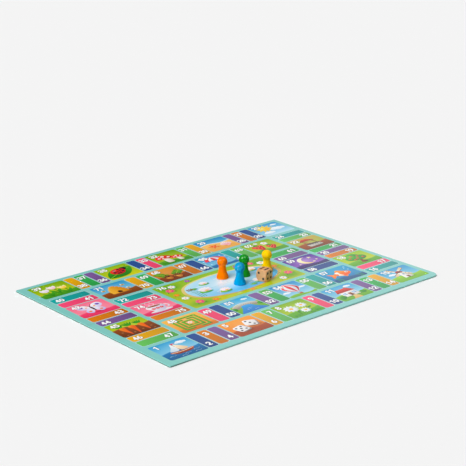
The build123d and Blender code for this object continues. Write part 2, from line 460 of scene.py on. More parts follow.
def grass(brush, x, y, height):
    """Three blades that grow from x, y."""
    for angle, share in ((112, 0.8), (92, 1), (68, 0.75)):
        brush.petal(x, y, angle, height * share, height * 0.22, "4E9A26", "2F7A22")


def blossom(brush, x, y, size, petals, colour, fade, width=0.45):
    """A round flower about x, y, whose petals are this share of its size in width."""
    for angle in np.arange(petals) * 360 / petals + 18:
        brush.petal(x, y, angle, size, size * width, colour, fade, (1, -1), bluntness=0.6)
    brush.oval(x, y, size * 0.27, size * 0.27, "FFD22A", "EE9A12")


def daisies(brush):
    brush.ground("82AC10", "C2C81A", "6FAE2A", "4F9424", -8)
    for x, y, size in ((-7, 3, 9.5), (10, 6, 7), (4, -9, 6.5)):
        brush.curve([(x, y), (x + 1, y - 8), (x - 1, y - 20)], 1.3, "3E7F22")
        brush.petal(x + 0.4, y - 12, 30, 8, 3.4, "57A02C", "3D8524")
        blossom(brush, x, y, size, 11, "FFFFFF", "D3E0E6", width=0.4)
    for x in (-17, -12, 14, 18):
        grass(brush, x, -19, 6)


def sailing_boat(brush):
    brush.ground("44A4CE", "C4E6F2", "1484B8", "0A5480", -5)
    cloud(brush, 12, 12, 4)
    brush.line([(0, -7), (0, 14)], 1.1, "7A4420", end=0.8)
    brush.blob([(-1, 13), (-6, 4), (-12, -4), (-1.2, -4.5)], "FFFFFF", "C9DCE8", (-1, -1))
    brush.blob([(1, 11), (8, 3), (10.5, -4), (1, -4.5)], "FFF4E2", "E8C8A0", (1, -1))
    brush.area([(0, 14), (5.5, 12.6), (0, 11)], "E8404E")
    brush.blob([(-14, -6), (0, -7), (15, -5.5), (11, -11.5), (0, -13), (-9, -12)], "C9622A", "7A3216")
    brush.curve([(-13, -7.5), (0, -8.6), (14, -7)], 0.9, "FFE9C8")
    for x, y in ((-16, -14), (2, -16), (-4, -19), (15, -13), (14, -18)):
        wave = [(x - 4, y), (x - 1.5, y + 1), (x + 1.5, y), (x + 4, y + 1)]
        brush.curve(wave, 0.7, "FFFFFF", end=0.3, strength=0.6)


def two_dice(brush):
    brush.ground("F0A848", "D87C28", "B4591E", "85390F", -7)
    for x, y, turn, spots in ((-8, -3, 14, 5), (10, 4, -20, 3)):
        brush.glow(x + 1.5, y - 8, 12, 4.5, "4A1C06", 0.7)
        brush.block(x + 1.2, y - 1.4, 15, 15, 3, "B9B2AE", "958C88", turn=turn)
        brush.block(x, y, 15, 15, 3, "FFFFFF", "E4E2E2", (1, -1), turn=turn)
        places = [(-4, 4), (0, 0), (4, -4)] + ([(4, 4), (-4, -4)] if spots == 5 else [])
        for spot in turned(places, turn) + (x, y):
            brush.oval(*spot, 1.5, 1.5, "2A2230", "4C4456")


def cottage(brush):
    brush.ground("4CA8D0", "D0EAF0", "8CBF2C", "5B9A24", -6)
    cloud(brush, 13, 14, 3)
    brush.glow(1, -12, 17, 4, "2C6414", 0.6)
    brush.block(6.5, 9, 3, 7, 0.4, "B4553C", "8C3A28")
    brush.block(0, -5, 22, 14, 0.6, "FFFFFF", "D8D4CC", (1, -1))
    brush.area([(-14, 1), (14, 1), (8.5, 11), (-8.5, 11)], "E0503C", "A82C22")
    for step in range(3):
        tiles = [(-12.6 + step * 1.4, 3.4 + step * 2.6), (12.6 - step * 1.4, 3.4 + step * 2.6)]
        brush.line(tiles, 0.4, "7C1E18", strength=0.5)
    brush.block(0, -7.6, 5, 8.8, 0.8, "9A5A28", "6C3A16")
    for x in (-7, 7):
        brush.block(x, -4.4, 4.6, 4.6, 0.4, "6FC0E8", "2F7FB8", (1, -1))
        brush.line([(x, -6.6), (x, -2.2)], 0.5, "FFFFFF")
        brush.line([(x - 2.2, -4.4), (x + 2.2, -4.4)], 0.5, "FFFFFF")
    brush.blob([(-2, -12), (2, -12), (5, -17), (4, -24), (-9, -24), (-4, -17)], "EBD29A", "CFA864")
    for x, y, r in ((-15, -10, 4.5), (-18, -13, 4), (16, -10, 4.4)):
        brush.oval(x, y, r, r * 0.9, "4FA32E", "2C7A20", (1, -1))


def windmill(brush):
    brush.ground("369CC8", "BCE2EC", "A2CC34", "64A228", -7)
    cloud(brush, -13, 3, 3.4)
    brush.glow(2, -13, 10, 3, "2C6414", 0.6)
    brush.area([(-4.5, 4), (4.5, 4), (7, -13), (-7, -13)], "FFFFFF", "CFC8BE", (1, -0.2))
    brush.blob([(-5, 4), (-3.5, 8), (0, 9.6), (3.5, 8), (5, 4)], "C8483A", "8A2A22")
    brush.block(0, -10.4, 3.6, 5.4, 1, "8A5228", "643816")
    brush.oval(0, -2, 1.4, 1.7, "5A93B8")
    for angle in (28, 118, 208, 298):
        brush.line(turned([(0, 0), (16, 0)], angle) + (0, 6), 1.0, "7A4A22", end=0.7)
        vane = turned([(4, 0.4), (16, 0.4), (16, 4.4), (4, 3.4)], angle) + (0, 6)
        brush.area(vane, "FFF6E6", "E0C8A0", direction(angle))
        for reach in (8, 12):
            brush.line(turned([(reach, 0), (reach, 4)], angle) + (0, 6), 0.5, "A87A48")
    brush.oval(0, 6, 1.5, 1.5, "5C3414")


def apple_tree(brush):
    brush.ground("98BE1E", "D0D038", "7CB62C", "4E9424", -9)
    brush.glow(0, -14, 13, 3.5, "2C6414", 0.6)
    trunk = [(-2.2, 0), (-2, -8), (-4.5, -15), (4.5, -15), (2.4, -8), (2.6, 0)]
    brush.blob(trunk, "9A6030", "5E3416", (1, 0))
    for x, y, r in ((-8, 2, 7.5), (8, 2, 7.5), (0, 8, 9.5), (-4, 0, 7), (5, -0.5, 7)):
        brush.oval(x, y, r, r * 0.9, "52AE34", "2A7E24", (0.6, -1))
    brush.glow(-4, 9, 8, 6, "C8EC6A", 0.6)
    for x, y in ((-9, 3), (-2, 9), (6, 6), (1, 0), (10, 0), (-5, -3)):
        brush.oval(x, y, 1.9, 1.8, "F04034", "B01A20", (1, -1))
        brush.glow(x - 0.5, y + 0.6, 0.8, 0.7, "FFFFFF", 0.8)


def stone_well(brush):
    brush.ground("C9B05A", "8FB83A", "A8622A", "70380F", -3)
    brush.glow(0, -14, 15, 4, "3C1A06", 0.7)
    for x in (-8, 8):
        brush.block(x, 2, 1.8, 16, 0.5, "9A6434", "6C4020", (1, 0))
    brush.area([(-13, 6), (13, 6), (4, 14), (-4, 14)], "D8583C", "96301E")
    brush.line([(-8, 3.4), (8, 3.4)], 1.3, "7A4A24")
    brush.line([(0, 3), (0, -3)], 0.5, "E8DCC0")
    brush.area([(-2, -3), (2, -3), (1.5, -6.5), (-1.5, -6.5)], "C08A50", "8A5A2C", (1, 0))
    brush.block(0, -9.5, 22, 9, 2, "D8D4CC", "948E88", (1, -0.4))
    brush.oval(0, -5.4, 11, 2.6, "6C6864", "3A3836")
    for row, y in enumerate((-8, -11)):
        for x in np.arange(-8, 9, 4) + 2 * (row % 2):
            brush.block(x, y, 3.2, 2, 0.7, "EDE9E2", "BDB7AE", (1, -1), 0.8)


def sun_and_clouds(brush):
    brush.ground("369CCC", "C4E6F2")
    for angle in range(0, 360, 30):
        brush.petal(-7, 6, angle, 15, 3.6, "FFE25A", "FFC21E", strength=0.85)
    brush.oval(-7, 6, 8, 8, "FFE45C", "FFB71E", (1, -1))
    brush.glow(-9, 8, 5, 5, "FFFFFF", 0.6)
    for x, y, size in ((9, -3, 6.5), (-11, -11, 5), (14, 12, 3)):
        cloud(brush, x, y, size)


def shell_on_sand(brush):
    brush.ground("2890C2", "A4DAEA", "F6CF86", "DFA04A", 3)
    brush.curve([(-26, 3.4), (-10, 6.6), (8, 2.6), (26, 6.6)], 1.6, "FFFFFF", strength=0.8)
    brush.glow(-8, -8, 9, 4, "A86A20", 0.5)
    brush.area(star(-9, -5, 9, 3.6, 5, 100), "F58A3C", "D8541E", (1, -1))
    for x, y in ((-9, -5), (-9.6, 0), (-5, -5.4), (-12, -8.6), (-7, -9)):
        brush.oval(x, y, 0.7, 0.7, "FFD9A8")
    brush.glow(10, -12, 9, 3, "A86A20", 0.5)
    fan = np.concatenate([ellipse(10, -9, 9, 9.5, 15, 165, 14), [(8.5, -12.5), (11.5, -12.5)]])
    brush.area(fan, "FFFFFF", "F0A8B0")
    for angle in (50, 70, 90, 110, 130):
        rib = [(10, -12) + direction(angle) * (1.5, 2), (10, -9) + direction(angle) * 8]
        brush.line(rib, 0.4, "E27A8C", end=0.9, strength=0.6)
    brush.block(10, -12.6, 5, 2, 0.8, "FFE9EA", "E098A4")


def mushrooms(brush):
    brush.ground("74A010", "C4C820", "6AA82A", "3F8420", -9)
    for x, y, size in ((-6, 0, 1.25), (10, -5, 0.85)):
        brush.glow(x, y - 12 * size, 9 * size, 3, "1E5410", 0.6)
        stem = np.array([(-2.6, 0), (2.6, 0), (3.6, -11), (0, -12.4), (-3.6, -11)]) * size
        brush.blob(stem + (x, y), "FFFFFF", "D8CDBA", (1, -0.5))
        dome = ellipse(x, y, 10 * size, 9.5 * size, 0, 180, 18)
        rim = ellipse(x, y, 10 * size, 2 * size, 180, 360, 12)[1:-1]
        brush.area(np.concatenate([dome, rim]), "F2483A", "B81820", (0.7, -1))
        for across, up, r in ((-5, 3, 1.5), (0.5, 6, 1.9), (5.5, 2.4, 1.4), (-1.4, 1.4, 1.1)):
            brush.oval(x + across * size, y + up * size, r * size * 1.15, r * size, "FFFFFF", "F0DCD8")
        brush.oval(x, y - 0.6 * size, 4 * size, 1.0 * size, "E9D8C6", strength=0.9)
    for x in (-18, -14, 2, 17):
        grass(brush, x, -18, 7)


def ladybird(brush):
    brush.ground("90B414", "D0CE28")
    brush.petal(-22, -15, 28, 50, 26, "4FA52A", "2B7A1E", bluntness=0.8)
    brush.line([(-21, -14.5), (18, 6)], 0.9, "9AD04A", end=0.5)
    for x, y, angle in ((-10, -8, 75), (0, -3, 75), (9, 1.5, 75), (-8, -7.5, -20), (2, -2, -20)):
        vein = [(x, y), (x, y) + direction(angle) * 6]
        brush.line(vein, 0.5, "9AD04A", end=0.3, strength=0.7)
    brush.glow(1, -3, 13, 9, "123C0A", 0.6, 28)
    brush.oval(10, 6.2, 5, 4.4, "2A2228", "100C10", turn=28)
    brush.oval(0, 1, 11, 9, "F4433A", "A8141C", (0.7, -1), turn=28)
    brush.line([(-9, -3.8), (9, 5.8)], 0.9, "241C20")
    for x, y in ((-3, 5.6), (3.6, 7), (-5.4, -0.2), (1.4, -3.6), (6.4, -0.2), (-2.6, -5)):
        brush.oval(x, y, 1.9, 1.6, "2A2228", turn=28)
    brush.glow(-3, 5, 5, 2.4, "FFFFFF", 0.6, 28)
    for side in (-1, 1):
        brush.curve([(13, 8 + side), (17, 10 + side * 2), (19, 11 + side * 4)], 0.6, "2A2228", end=0.4)


def tulips(brush):
    brush.ground("7CA80E", "CCCC22", "62A428", "3C841E", -10)
    for x, y, colour, fade in (
        (-11, 2, "FFFFFF", "E6D6E4"), (1, 7, "FFFFFF", "F4C6CE"), (12, 1, "FFF6C8", "F4C23A"),
    ):
        brush.curve([(x, y), (x + 0.8, y - 9), (x, y - 24)], 1.4, "3E8A24")
        for angle in (64, 118):
            brush.petal(x, y - 20, angle, 16, 4.2, "5AAE30", "36801F")
        for angle in (64, 116):
            brush.petal(x, y - 5, angle, 11, 5.6, colour, fade, bluntness=0.7)
        brush.petal(x, y - 5.4, 90, 10, 6.4, colour, fade, (1, -1), bluntness=0.6)


def butterfly(brush):
    brush.ground("F4809C", "F9A8B4", "EE5C80", "D63C68", -9)
    brush.glow(2, -12, 13, 3, "8A1438", 0.5)
    for side in (-1, 1):
        wing = [(0, 2), (side * 5, 12), (side * 14, 14), (side * 16, 6), (side * 9, 0)]
        tail = [(0, 0), (side * 9, -1), (side * 12, -8), (side * 6, -12), (side * 1, -5)]
        brush.blob(wing, "FFFFFF", "D9D2F0", (side, -1))
        brush.blob(tail, "FFFFFF", "C6BCE8", (side, -1))
        brush.oval(side * 11, 8.6, 2.6, 2.4, "8A5AC0", "6A3CA0")
        brush.oval(side * 5.4, 5.4, 1.5, 1.4, "F4A22A")
        brush.oval(side * 7.2, -6.4, 2, 2, "F4A22A", "E0741C")
        brush.curve([(0, 6), (side * 2.2, 10), (side * 4.6, 12.6)], 0.5, "4A2A3A")
    brush.oval(0, 0, 1.4, 7.6, "5C3A4A", "2E1822", (1, 0))


def carrots(brush):
    brush.ground("98BA1C", "D2CE2E", "9A5A26", "5E300E", 2)
    for x, tilt, size in ((-12, 4, 1), (0, -3, 1.15), (12, 2, 0.95)):
        for angle in (60, 78, 95, 112, 128):
            brush.petal(x, 3, angle, 11 * size, 2.4, "4FAA2C", "2E7F20", (0, 1))
        root = [(x - 3.6 * size, 2.6), (x, 4.6), (x + 3.6 * size, 2.6), (x + 2.6, -6)]
        root += [(x + tilt * 0.5, -17 * size), (x - 2.2, -6)]
        brush.blob(root, "FF9A3A", "D8590E", (1, -0.3))
        for y in (-0.5, -4, -8):
            brush.line([(x - 2 + y * 0.06, y), (x + 0.4, y - 0.5)], 0.5, "B4440A", end=0.2, strength=0.7)
    for x, y in ((-18, -8), (-6, -14), (6, -12), (18, -10), (18, -17), (-17, -17)):
        brush.oval(x, y, 1.5, 1.0, "C08A54", "8A5A30")


def hedge_maze(brush):
    brush.ground("F2C46C", "E29A3C", "DC9236", "B86A20", -12)
    for size, flip in ((32, 1), (22, -1), (12, 1)):
        half, gap = size / 2, size * 0.18
        walls = np.array([
            [(-half, -half), (-half, half)], [(-half, half), (half, half)], [(half, half), (half, -half)],
            [(-half, -half), (-gap, -half)], [(gap, -half), (half, -half)],
        ]) * (1, 0.95 * flip)
        for wall in walls:
            brush.line(wall + (0.5, -0.9), 3.0, "7A4412", strength=0.4)
        for wall in walls:
            brush.line(wall, 2.8, "5DAE38", "3C8A28")
            brush.line(wall + (-0.2, 0.5), 0.9, "9AD858", strength=0.7)
    blossom(brush, 0, 0, 3.6, 6, "FFFFFF", "F4D4DA")


def arched_bridge(brush):
    brush.ground("4CAAD2", "CCEAF0", "8FC232", "5C9C26", 1)
    cloud(brush, 11, 14, 2.6)
    river = [(-5, 2), (5, 2), (9, -8), (18, -24), (-18, -24), (-9, -8)]
    brush.blob(river, "4FB2E6", "1C72B8")
    for x, y in ((-4, -14), (5, -17), (-1, -11)):
        brush.line([(x - 3, y), (x + 3, y + 0.4)], 0.6, "FFFFFF", end=0.3, strength=0.7)
    deck = [ellipse(0, -8, 21, 12, 12, 168, 16), ellipse(0, -9.5, 11, 9, 172, 8, 14)]
    brush.area(np.concatenate(deck), "D9D2C6", "97897A")
    for angle in range(25, 160, 13):
        way = direction(angle)
        joint = [(0, -9.3) + way * (11.8, 9.8), (0, -9) + way * (14.6, 11.04)]
        brush.line(joint, 0.45, "75685A", strength=0.8)
    brush.line(ellipse(0, -8, 20.4, 13.6, 14, 166, 16), 1.6, "EDE6DA", "B8AC9C")
    for x in (-19, 19):
        brush.oval(x, -6, 4.4, 4, "54A830", "2F7E22", (1, -1))


def air_balloon(brush):
    brush.ground("3496C8", "B8E0EC", "8CBE34", "5A9826", -17)
    cloud(brush, -14, -6, 3.2)
    cloud(brush, 14, 0, 2.8)
    ball = np.concatenate([ellipse(0, 5, 11.5, 12.5, -35, 215, 22), [(-2.2, -9.5), (2.2, -9.5)]])
    brush.area(ball, "FFFFFF", "D8D4DC", (1, -0.6))
    for across, width in ((-8, 3.4), (0, 5), (8, 3.4)):
        side = across * 1.05
        gore = [
            (across * 0.1, 17.4), (side - width / 2, 8), (side - width / 2.2, 1), (across * 0.2, -9.4),
            (side + width / 2.2, 1), (side + width / 2, 8),
        ]
        brush.blob(gore, "EE4A52", "B41E34", (1, -0.6))
    brush.glow(-4, 11, 4, 5, "FFFFFF", 0.6)
    for x in (-2, 2):
        brush.line([(x, -9.5), (x * 0.9, -13)], 0.4, "6C4420")
    brush.block(0, -14.6, 5, 4, 0.9, "C88A48", "8A5626")


def goldfish(brush):
    brush.ground("34A8CC", "1680B4", "146C9C", "0C4870", -12)
    for x, height in ((-18, 17), (-14, 12), (18, 15), (14, 9)):
        weed = [(x, -22), (x + 1.5, -22 + height / 2), (x - 1, -20 + height)]
        brush.curve(weed, 1.8, "4CC07A", "1E7C54", end=0.6)
    brush.blob([(-8, 0), (-17, 7), (-15, 0), (-17, -8)], "FFB648", "EE6A1C", (-1, 0))
    for fin in ([(-3, 6), (2, 12), (8, 6)], [(-1, -6), (1, -11), (6, -6)]):
        brush.blob(fin, "FFB648", "F07A20")
    brush.blob([(-10, 0), (-2, 7), (9, 6), (15, 0), (9, -6), (-2, -7)], "FFA63A", "E85A18")
    brush.blob([(-6, 4.6), (0, 6.6), (-1, 0), (0, -6.6), (-6, -4.4), (-4, 0)], "FFFFFF", "FFE2C4")
    brush.oval(10, 1.6, 1.8, 1.9, "FFFFFF")
    brush.oval(10.4, 1.6, 0.9, 1.0, "1E2A38")
    for x, y, r in ((18, 6, 1.4), (16, 11, 1.0), (19, 15, 1.6)):
        brush.oval(x, y, r, r, "FFFFFF", "7CC8EC", (1, -1), 0.7)


def moon_and_stars(brush):
    brush.ground("5E3C98", "A878C8", "4A2C7C", "30185C", -10)
    moon = [ellipse(2, 2, 11, 11, 60, 300, 22), ellipse(6.2, 2, 8.6, 9.6, 276, 84, 16)]
    brush.glow(0, 2, 18, 16, "F4D8FF", 0.45)
    brush.area(np.concatenate(moon), "FFFDEB", "F4D878", (1, -1))
    for x, y, r in ((12, 8, 3.4), (16, -2, 2.2), (-15, 10, 2.6), (-13, -5, 2), (9, -6, 2.4)):
        brush.area(star(x, y, r, r * 0.42, 5), "FFFFFF", "FFE48A")


def strawberries(brush):
    brush.ground("88AE14", "CCCA26", "74AE2A", "4A9022", -10)
    for x, y, size, turn in ((-8, 1, 1.15, 8), (9, -4, 0.95, -14)):
        shape = np.array([(-7, 4), (0, 6.4), (7, 4), (5.4, -3), (0, -10), (-5.4, -3)]) * size
        brush.glow(x, y - 10 * size, 8, 2.6, "1E5410", 0.6)
        brush.blob(turned(shape, turn) + (x, y), "F4404A", "B4121E", (0.8, -1))
        seeds = np.array([(-3.4, 2.4), (0, 0.6), (3.6, 2.2), (-2.4, -2), (2.2, -2.4), (0, -5.4)]) * size
        for seed in turned(seeds, turn) + (x, y):
            brush.oval(*seed, 0.45, 0.7, "FFE27A")
        for angle in (20, 55, 90, 125, 160, 270):
            brush.petal(x, y + 5.2 * size, angle + turn, 5 * size, 2.4, "58B030", "35841F")
    for x, y, size in ((8, 10, 5), (-2, 15, 3)):
        blossom(brush, x, y, size, 5, "FFFFFF", "E4E4EA", width=0.9)


def umbrella(brush):
    brush.ground("4098C4", "9CD0E4", "2A7EB0", "185C8C", -14)
    cloud(brush, -12, 14, 3.4)
    for x, y in ((-17, 4), (-14, -8), (16, -4), (14, 12), (18, 6), (-19, -2)):
        brush.petal(x, y - 2, 90, 4.4, 2, "E4F6FF", "9CD4F4")
    brush.line(np.concatenate([[(0, 10), (0, -11)], ellipse(2, -12, 2, 2.6, 180, 330, 7)]), 1.1, "8A5228")
    brush.area(ellipse(0, 1, 15, 13, 0, 180, 20), "F44A56", "B82440", (1, -1))
    for left, right in ((-9, -3.4), (3.4, 9)):
        strip = [(left, 1), (left * 0.75, 8), (0, 14), (right * 0.75, 8), (right, 1)]
        brush.blob(strip, "FFFFFF", "D4DCE8", (1, -1))
    for x in (-12, -6, 0, 6, 12):
        brush.oval(x, 0.6, 3, 1.6, "4796D2", strength=0.9)


def acorns(brush):
    brush.ground("DDA040", "B86C26", "94501A", "6A340E", -6)
    for x, y, angle, size in ((-4, -10, 118, 24), (2, -8, 40, 22)):
        for share in (0.3, 0.55, 0.8):
            for side in (-1, 1):
                lobe = turned([size * share, side * 3], angle) + (x, y)
                brush.oval(*lobe, 3.8, 2.7, "7CA82E", "4A7C1E", turn=angle + side * 40)
        brush.petal(x, y, angle, size, 7, "86B034", "4E8020", bluntness=0.6)
        rib = [(x, y), (x, y) + direction(angle) * size * 0.85]
        brush.line(rib, 0.8, "C4D868", end=0.3)
    for x, y, turn in ((-7, -8, 12), (7, -9, -10)):
        brush.glow(x + 1, y - 6, 6, 2.2, "2E1204", 0.7)
        brush.oval(x, y - 1.6, 4, 6, "EDB868", "A8641E", (1, -0.4), turn=turn)
        brush.oval(x, y + 2.6, 5, 3, "8A5626", "5A3210", turn=turn)
        brush.line([(x, y + 5), (x + 0.8, y + 8)], 0.9, "5A3210")


def beehive(brush):
    brush.ground("429CC8", "B4DCE8", "9C5C26", "6A380F", -6)
    brush.glow(0, -13, 14, 3.6, "2E1204", 0.7)
    brush.block(0, -13, 26, 3, 0.8, "B87A40", "7A4820")
    for y, half in ((-9.5, 11.5), (-5.5, 11.8), (-1.5, 11), (2.5, 9.4), (6.4, 7), (9.8, 4)):
        brush.block(0, y, half * 2, 4.6, 2.2, "F6C452", "C8861E", (0.5, -1))
    brush.area(np.concatenate([ellipse(0, -8, 2.8, 3.4, 0, 180, 10), [(-2.8, -11), (2.8, -11)]]), "4A2810")
    for x, y in ((14, 8), (-15, 4), (15, -4)):
        brush.oval(x - 0.6, y + 1.9, 1.3, 1.9, "FFFFFF", "D4E8F4", turn=20, strength=0.85)
        brush.oval(x, y, 2.7, 1.7, "FFD23A", "F0A81E")
        for across in (-0.8, 0.8):
            brush.line([(x + across, y - 1.3), (x + across, y + 1.3)], 0.7, "2E2218")


def teacup(brush):
    brush.ground("F27898", "F8A6B4", "E8557E", "CE3A66", -9)
    brush.glow(0, -13, 17, 3.6, "7A1034", 0.55)
    brush.oval(0, -11.5, 15, 3, "FFFFFF", "D2CCDA")
    brush.line(ellipse(11, -2, 4.6, 4.4, -100, 100, 12), 1.9, "FFFFFF", "D8D2DE")
    cup = [(-11, 4), (11, 4), (9.6, -5), (5, -11), (-5, -11), (-9.6, -5)]
    brush.blob(cup, "FFFFFF", "CFC8DC", (1, -0.5))
    brush.oval(0, 4.6, 11, 2.5, "FFFFFF", "E2DCE6")
    brush.oval(0, 4.3, 9.2, 1.8, "B4642C", "8A4218")
    for x in (-5.4, 0, 5.4):
        blossom(brush, x, -3, 2.8, 5, "F04E7A", "C82C58", width=0.8)
    for x in (-4, 2):
        steam = [(x, 8), (x + 2, 11), (x - 1, 14), (x + 1.6, 18)]
        brush.curve(steam, 1.3, "FFFFFF", end=0.5, strength=0.6)


def water_lily(brush, x, y, size):
    """A white lily that floats at x, y: a fan of seven petals, and five shorter ones before it."""
    for angle in (20, 160, 45, 135, 70, 110, 90):
        reach = size * (0.75 if angle in (20, 160) else 1)
        brush.petal(x, y, angle, reach, size * 0.5, "FFFFFF", "E8C8DC", bluntness=0.7)
    foot = y - size * 0.08
    for angle in (35, 145, 60, 120, 90):
        brush.petal(x, foot, angle, size * 0.7, size * 0.4, "FFFFFF", "E8C8DC", (0.3, -1), bluntness=0.7)
    brush.oval(x, y + size * 0.08, size * 0.24, size * 0.15, "FFD84A", "F0A020")


def lily_pad(brush, x, y, across, turn):
    """Round leaf with a notch: 325 degrees of a circle and its middle, seen at a slant."""
    pad = np.concatenate([ellipse(0, 0, across, across, turn, turn + 325, 20), [(0, 0)]])
    pad = pad * (1, 0.55) + (x, y)
    brush.area(pad + (0.6, -0.9), "1E6A94", strength=0.35)
    brush.area(pad, "7CC644", "3F942E", (1, -1))
    for angle in np.arange(turn + 40, turn + 300, 55):
        vein = [(x, y), (x, y) + across * direction(angle) * (0.75, 0.42)]
        brush.line(vein, 0.5, "B8E47C", end=0.2, strength=0.7)


def home_pond(brush):
    """The last and largest picture: a garden pond with water lilies, inside a flower bed."""
    brush.ground("90B616", "BCC422")
    for x, y, across, up in ((-68, 30, 22, 14), (66, 31, 24, 13), (-66, -32, 24, 12), (68, -30, 22, 14)):
        brush.glow(x, y, across, up, "4E9A22", 0.75)
    bank = [
        (-62, -2), (-50, 20), (-14, 30), (30, 27), (62, 14), (66, -10), (34, -28), (-12, -32), (-50, -22),
    ]
    brush.blob(np.array(bank) * 1.07, "E9DFA0", "C8A85C")
    brush.blob(bank, "C8E9F6", "56B0DE", (0.6, -1))
    brush.glow(4, 0, 54, 25, "FFFFFF", 0.92)
    for x, y, reach in ((-34, 10, 9), (-20, -16, 12), (24, -18, 10), (40, 10, 8), (2, 18, 12), (48, -6, 7)):
        ripple = [(x - reach, y), (x - reach / 3, y + 1), (x + reach / 3, y - 0.6), (x + reach, y + 0.6)]
        brush.curve(ripple, 0.9, "FFFFFF", end=0.4, strength=0.7)
    for x, y, across, turn in (
        (-40, -6, 9, 20), (-28, 14, 7, 140), (-22, -20, 8, 70), (44, 14, 8, 200), (52, -6, 7, 110),
        (30, -20, 8, 10), (6, 21, 7, 60), (-48, 8, 5, 250), (16, -24, 5, 160),
    ):
        lily_pad(brush, x, y, across, turn)
    for x, y, size in (
        (-38, -5, 11), (-20, -19, 9), (46, 14, 9.5), (29, -19, 9), (-27, 14, 7.5), (53, -6, 6.5),
    ):
        water_lily(brush, x, y, size)
    pink, white, orange, violet = (
        ("F4789C", "D84A78"), ("FFFFFF", "DDE4EA"), ("F8A23C", "E07018"), ("B06ACC", "8A44AE"),
    )
    for x, y, size, colours in (
        (-71, 22, 6, pink), (-62, 31, 5, white), (-72, -8, 5, white), (-66, -27, 6, pink),
        (-48, -33, 4.5, orange), (-74, 6, 4, orange), (70, 25, 6, white), (58, 32, 5, pink),
        (74, 6, 4.5, orange), (72, -22, 6, pink), (55, -32, 5, white), (38, 35, 4, violet),
        (-36, 35, 4, violet), (4, -36.5, 3.4, orange),
    ):
        for angle in (-40, 220):
            brush.petal(x, y, angle, size * 1.5, size * 0.5, "4FA02A", "347C20")
        blossom(brush, x, y, size, 7, *colours, width=0.62)
    for x in (-55, -52, -49, 60, 63):
        brush.curve([(x, -18), (x + 1, -4), (x - 0.6, 8)], 0.9, "3E8A2C", end=0.5)
        brush.oval(x - 0.5, 9, 1.1, 3.6, "9A5A28", "6A3814")


pictures = {
    1: sailing_boat, 5: two_dice, 8: daisies, 11: cottage, 15: windmill, 18: apple_tree, 22: stone_well,
    25: sun_and_clouds, 29: shell_on_sand, 32: mushrooms, 35: ladybird, 39: tulips, 42: butterfly,
    45: carrots, 48: hedge_maze, 51: arched_bridge, 54: air_balloon, 57: goldfish, 59: moon_and_stars,
    62: strawberries, 65: umbrella, 68: acorns, 71: beehive, 74: teacup,
}


def lane_spaces(pattern, length, corner, middle):
    """Widths of a lane's spaces: corner pictures, middle pictures, and numbers that share the rest."""
    last = len(pattern) - 1
    widths = [0 if kind == "n" else corner if i in (0, last) else middle for i, kind in enumerate(pattern)]
    rest = (length - sum(widths) - seam * last) / pattern.count("n")
    return [width or rest for width in widths]


def print_lane(pattern, start, way, breadth, length, corner, middle):
    """One side of the spiral, from its start corner along way, in equal breadth."""
    reach = 0.0
    way = np.array(way)
    inward = np.array([-way[1], way[0]])
    for kind, width in zip(pattern, lane_spaces(pattern, length, corner, middle)):
        centre = print_shift + start + way * (reach + width / 2) + inward * breadth / 2
        size = np.abs(way) * width + np.abs(inward) * breadth
        brush = Brush(len(spaces), centre, size)
        spaces.append(plate(*centre, *(size + 2 * pale_line), space_rounding + pale_line))
        value = len(spaces)
        if kind == "n":
            numbered_space(brush, value, way[0] != 0)
        else:
            picture_space(brush, value, pictures[value])
        reach += width + seam


# Each side of the spiral: its spaces (P a picture, n a number), start corner, direction, breadth,
# length, and the widths of its corner and middle pictures
outer_x = board_x - border
outer_y = board_y - border
inner_x = outer_x - (column_breadth + gutter)
inner_y = outer_y - (row_breadth + gutter)
home_x = inner_x - (column_breadth + gutter)
home_y = inner_y - (row_breadth + gutter)
for lane in (
    ("PnnnPnnPnnPnnnP", (-outer_x, -outer_y), (1, 0), row_breadth, 2 * outer_x, 48, 46),
    ("nnPnnnPnn", (outer_x, -inner_y), (0, 1), column_breadth, 2 * inner_y, 40, 40),
    ("PnnnPnnPnnPnnnP", (outer_x, outer_y), (-1, 0), row_breadth, 2 * outer_x, 48, 46),
    ("nnPnnPnn", (-outer_x, inner_y), (0, -1), column_breadth, 2 * inner_y, 40, 40),
    ("PnnPnnPnnP", (-inner_x, -inner_y), (1, 0), row_breadth, 2 * inner_x, 48, 40),
    ("nPnn", (inner_x, -home_y), (0, 1), column_breadth, 2 * home_y, 36, 36),
    ("PnnPnnPnnP", (inner_x, inner_y), (-1, 0), row_breadth, 2 * inner_x, 48, 40),
    ("nnPn", (-inner_x, home_y), (0, -1), column_breadth, 2 * home_y, 36, 36),
):
    print_lane(*lane)
home_brush = Brush(len(spaces), print_shift, (2 * home_x, 2 * home_y))
spaces.append(plate(*print_shift, 2 * home_x, 2 * home_y, space_rounding))
picture_space(home_brush, len(spaces), home_pond)


def leftward(loop):
    """Whether a loop turns left: twice its area is the sum of its points' cross products."""
    after = np.roll(loop, -1, 0)
    return (loop[:, 0] * after[:, 1] - loop[:, 1] * after[:, 0]).sum() > 0


